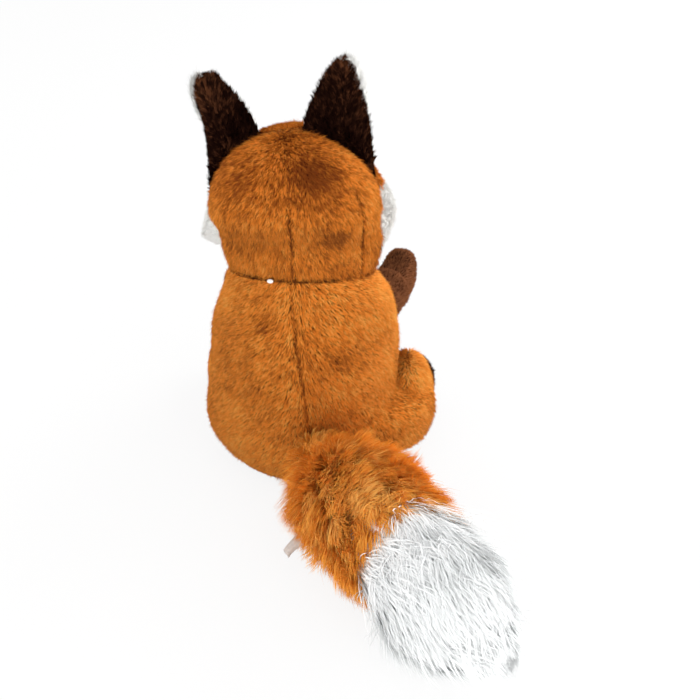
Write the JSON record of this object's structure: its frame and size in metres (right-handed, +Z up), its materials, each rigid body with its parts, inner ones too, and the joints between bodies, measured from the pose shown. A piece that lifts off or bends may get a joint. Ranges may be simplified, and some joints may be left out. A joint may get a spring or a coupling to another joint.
{
  "type": "fox hand puppet",
  "caption": "Sitting plush fox glove puppet with a hand opening in its seat, finger spaces in head and arms, and a bushy tail, bending at its sewn seams.",
  "frame": {"origin": "middle of the footprint box, on the floor that the puppet sits on", "axes": "+Z up, -Y the way the fox faces, +X towards its left side; the tail lies behind it on +Y"},
  "size_m": [0.2276, 0.3348, 0.2832],
  "materials": {
    "rust_plush": "short pile",
    "brown_plush": "short pile",
    "white_plush": "short pile",
    "rust_fur": "long pile",
    "white_fur": "long pile",
    "cotton": "plain weave",
    "wadding": "loose fibre",
    "card_tube": "matte",
    "black_plastic": "gloss",
    "white_plastic": "matte",
    "label_tape": "satin",
    "thread": "thread"
  },
  "bodies": {
    "body": {"seat_panel": "rust_plush", "belly_panel": "rust_plush", "back_panel_left": "rust_plush", "back_panel_right": "rust_plush", "back_wadding": "wadding", "front_wadding": "wadding", "left_wadding": "wadding", "right_wadding": "wadding", "hand_lining": "cotton", "hem_binding": "rust_plush", "tag_barb": "white_plastic"},
    "neck": {"neck_seam_tape": "cotton"},
    "head": {"head_back_panel": "rust_plush", "forehead_panel": "rust_plush", "left_cheek_panel": "white_plush", "right_cheek_panel": "white_plush", "muzzle": "white_plush", "head_stuffing": "wadding", "head_finger_tube": "card_tube", "left_eye": "black_plastic", "right_eye": "black_plastic", "left_eye_washer": "white_plastic", "right_eye_washer": "white_plastic", "nose": "black_plastic", "nose_washer": "white_plastic", "mouth_stitch": "thread"},
    "left_ear": {"left_ear_back": "brown_plush", "left_ear_lining": "white_plush"},
    "right_ear": {"right_ear_back": "brown_plush", "right_ear_lining": "white_plush"},
    "left_arm": {"left_sleeve": "brown_plush"},
    "left_paw": {"left_paw": "brown_plush"},
    "right_arm": {"right_sleeve": "brown_plush"},
    "right_paw": {"right_paw": "brown_plush"},
    "left_leg": {"left_leg_cover": "rust_plush", "left_foot": "brown_plush", "left_leg_stuffing": "wadding"},
    "right_leg": {"right_leg_cover": "rust_plush", "right_foot": "brown_plush", "right_leg_stuffing": "wadding"},
    "tail": {"tail_cover": "rust_fur", "tail_stuffing": "wadding", "care_label": "label_tape"},
    "tail_tip": {"tail_tip_cover": "white_fur", "tail_tip_stuffing": "wadding"}
  },
  "joints": [
    {"name": "head_turn", "type": "hinge", "parent": "body", "child": "neck", "pos_m": [0.03074, -0.07203, 0.16341], "axis": [0, -0.3256, 0.9455], "range_deg": [-35, 35], "stiffness_Nm_per_rad": 0.5},
    {"name": "head_nod", "type": "hinge", "parent": "neck", "child": "head", "pos_m": [0.03074, -0.07203, 0.16341], "axis": [-1, 0, 0], "range_deg": [-15, 10], "stiffness_Nm_per_rad": 0.6},
    {"name": "left_ear_fold", "type": "hinge", "parent": "head", "child": "left_ear", "pos_m": [0.07814, -0.06852, 0.2205], "axis": [0.6402, 0, -0.7682], "range_deg": [-25, 25], "stiffness_Nm_per_rad": 0.02},
    {"name": "right_ear_fold", "type": "hinge", "parent": "head", "child": "right_ear", "pos_m": [0.00264, -0.06852, 0.232], "axis": [0.8406, 0, 0.5417], "range_deg": [-25, 25], "stiffness_Nm_per_rad": 0.02},
    {"name": "left_arm_raise", "type": "hinge", "parent": "body", "child": "left_arm", "pos_m": [0.07878, -0.10882, 0.09405], "axis": [-0.9797, -0.2005, 0], "range_deg": [-25, 40], "stiffness_Nm_per_rad": 0.1},
    {"name": "left_paw_curl", "type": "hinge", "parent": "left_arm", "child": "left_paw", "pos_m": [0.08358, -0.13226, 0.09597], "axis": [-0.9797, -0.2005, 0], "range_deg": [-25, 25], "stiffness_Nm_per_rad": 0.05},
    {"name": "right_arm_raise", "type": "hinge", "parent": "body", "child": "right_arm", "pos_m": [-0.01738, -0.10884, 0.09386], "axis": [-0.9507, 0.3102, 0], "range_deg": [-25, 40], "stiffness_Nm_per_rad": 0.1},
    {"name": "right_paw_curl", "type": "hinge", "parent": "right_arm", "child": "right_paw", "pos_m": [-0.02481, -0.13162, 0.0953], "axis": [-0.9507, 0.3102, 0], "range_deg": [-25, 25], "stiffness_Nm_per_rad": 0.05},
    {"name": "left_leg_lift", "type": "hinge", "parent": "body", "child": "left_leg", "pos_m": [0.07274, -0.10152, 0.035], "axis": [-1, 0, 0], "range_deg": [-20, 35], "stiffness_Nm_per_rad": 0.2},
    {"name": "right_leg_lift", "type": "hinge", "parent": "body", "child": "right_leg", "pos_m": [-0.02026, -0.07752, 0.035], "axis": [-1, 0, 0], "range_deg": [-20, 35], "stiffness_Nm_per_rad": 0.2},
    {"name": "tail_swing", "type": "hinge", "parent": "body", "child": "tail", "pos_m": [0.01174, 0.00648, 0.039], "axis": [0, 0, 1], "range_deg": [-20, 20], "stiffness_Nm_per_rad": 0.2},
    {"name": "tail_tip_lift", "type": "hinge", "parent": "tail", "child": "tail_tip", "pos_m": [-0.0461, 0.0856, 0.039], "axis": [0.8073, 0.5902, 0], "range_deg": [-10, 30], "stiffness_Nm_per_rad": 0.5}
  ]
}
